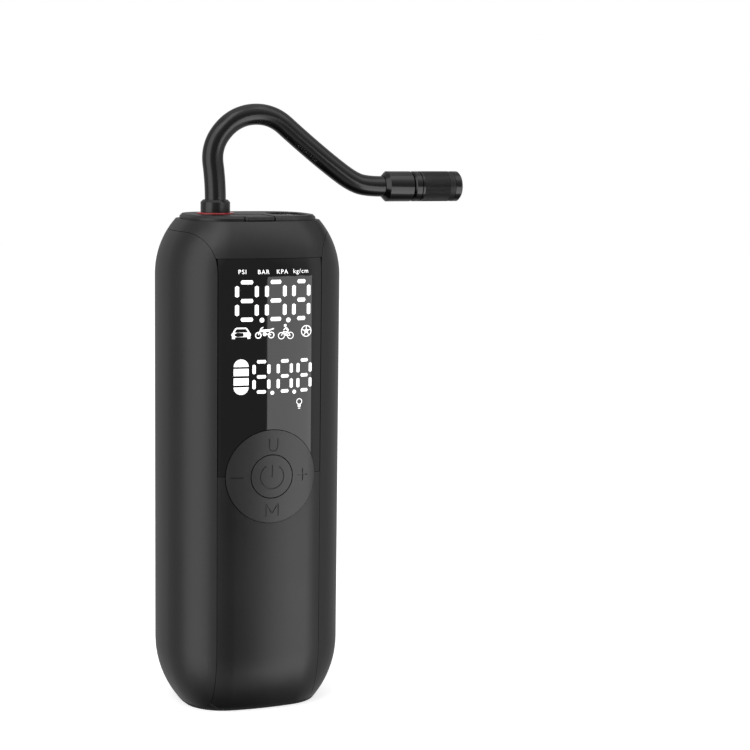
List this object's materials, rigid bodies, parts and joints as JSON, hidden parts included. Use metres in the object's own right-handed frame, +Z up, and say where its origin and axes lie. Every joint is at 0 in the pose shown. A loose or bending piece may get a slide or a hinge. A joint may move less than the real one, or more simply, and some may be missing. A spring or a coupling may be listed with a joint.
{
  "type": "portable tire inflator",
  "caption": "Hand-held cordless tire inflator: upright rounded body with display window, round keypad, top hose port, short bent air hose and screw-on valve chuck.",
  "frame": {"origin": "on the standing surface, under the middle of the body", "axes": "+Z up through the top cap, -Y out of the display, +X towards the valve chuck"},
  "size_m": [0.1231, 0.0584, 0.2294],
  "materials": {
    "shell_black": "soft-touch matt moulded",
    "cap_black": "matt moulded",
    "key_black": "satin moulded",
    "sole_rubber": "matt",
    "smoked_acrylic": "polished",
    "module_white": "moulded",
    "board_green": "solder mask",
    "screw_steel": "zinc plated",
    "silicone_grey": "silicone",
    "switch_black": "moulded",
    "lamp_clear": "frosted",
    "reflector_bright": "metallised",
    "led_yellow": "encapsulated",
    "socket_steel": "drawn",
    "cell_wrap": "shrink film",
    "holder_black": "moulded",
    "nickel": "rolled",
    "motor_steel": "zinc plated",
    "magnet_grey": "sintered",
    "armature_copper": "enamelled wire",
    "gear_brass": "machined",
    "gear_steel": "sintered",
    "rod_nylon": "moulded",
    "seal_rubber": "moulded",
    "cast_aluminium": "die cast",
    "tube_clear": "silicone",
    "accent_red": "translucent",
    "chuck_black": "black anodised",
    "hose_rubber": "matt"
  },
  "bodies": {
    "body": {"front_shell": "shell_black", "rear_shell": "shell_black", "base_pad": "sole_rubber", "top_cap": "cap_black", "display_window": "smoked_acrylic", "display_module": "module_white", "main_board": "board_green", "board_screws": "screw_steel", "shell_screws": "screw_steel", "tact_switches": "switch_black", "lamp_lens": "lamp_clear", "lamp_reflector": "reflector_bright", "lamp_board": "board_green", "lamp_leds": "led_yellow", "usb_socket": "socket_steel", "usb_board": "board_green", "usb_board_screws": "screw_steel", "battery_cells": "cell_wrap", "lower_cell_holder": "holder_black", "upper_cell_holder": "holder_black", "cell_strips": "nickel", "motor_can": "motor_steel", "motor_end_cap": "holder_black", "motor_magnets": "magnet_grey", "drive_frame": "motor_steel", "motor_screws": "screw_steel", "crank_bush": "gear_brass", "cylinder_block": "cast_aluminium", "cylinder_head": "cast_aluminium", "cylinder_screws": "screw_steel", "valve_spring": "socket_steel", "valve_plug": "gear_brass", "air_tube": "tube_clear", "hose_union": "gear_brass", "sensor_tube": "tube_clear", "pressure_sensor": "switch_black", "accent_ring": "accent_red", "hose_collar": "chuck_black", "hose": "hose_rubber", "hose_ferrule": "chuck_black", "valve_depressor": "gear_brass"},
    "rotor": {"armature": "armature_copper", "motor_shaft": "socket_steel", "pinion": "gear_brass"},
    "crank": {"crank_gear": "gear_steel", "crank_shaft": "socket_steel", "crank_pin": "socket_steel"},
    "piston": {"piston_rod": "rod_nylon", "piston_seal": "seal_rubber", "seal_retainer": "rod_nylon"},
    "valve": {"outlet_valve": "seal_rubber"},
    "rocker": {"rocker_pad": "silicone_grey"},
    "key_ring": {"keypad_ring": "key_black"},
    "power_key": {"power_button": "key_black"},
    "cover": {"port_cover": "sole_rubber"},
    "chuck": {"chuck_sleeve": "chuck_black", "chuck_seal_ring": "seal_rubber", "valve_gasket": "seal_rubber"}
  },
  "joints": [
    {"name": "motor_spin", "type": "hinge", "parent": "body", "child": "rotor", "pos_m": [0, 0.002, 0.103], "axis": [1, 0, 0], "continuous": true},
    {"name": "crank_spin", "type": "hinge", "parent": "body", "child": "crank", "pos_m": [0.014, 0.002, 0.1198], "axis": [1, 0, 0], "continuous": true},
    {"name": "piston_stroke", "type": "slide", "parent": "body", "child": "piston", "axis": [0, 0, 1], "range_m": [-0.01, 0]},
    {"name": "valve_lift", "type": "slide", "parent": "body", "child": "valve", "axis": [0, 0, 1], "range_m": [0, 0.001], "stiffness_N_per_m": 150, "springref_m": -0.001, "deforming": ["valve_spring"]},
    {"name": "rocker_tilt", "type": "hinge", "parent": "body", "child": "rocker", "pos_m": [0, -0.0235, 0.0915], "axis": [1, 0, 0], "range_deg": [-1.2, 1.2], "stiffness_Nm_per_rad": 2},
    {"name": "ring_tilt", "type": "hinge", "parent": "rocker", "child": "key_ring", "pos_m": [0, -0.0235, 0.0915], "axis": [0, 0, 1], "range_deg": [-1.2, 1.2], "stiffness_Nm_per_rad": 2},
    {"name": "power_press", "type": "slide", "parent": "body", "child": "power_key", "axis": [0, 1, 0], "range_m": [0, 0.00045], "stiffness_N_per_m": 600, "springref_m": -0.0005},
    {"name": "cover_hinge", "type": "hinge", "parent": "body", "child": "cover", "pos_m": [-0.00175, -0.0035, 0.1878], "axis": [-1, 0, 0], "range_deg": [0, 110]},
    {"name": "chuck_spin", "type": "hinge", "parent": "body", "child": "chuck", "pos_m": [0.08, 0.002, 0.198], "axis": [1, 0, 0], "continuous": true}
  ],
  "couplings": [
    {"joint": "crank_spin", "follows": "motor_spin", "ratio": -0.21739}
  ]
}
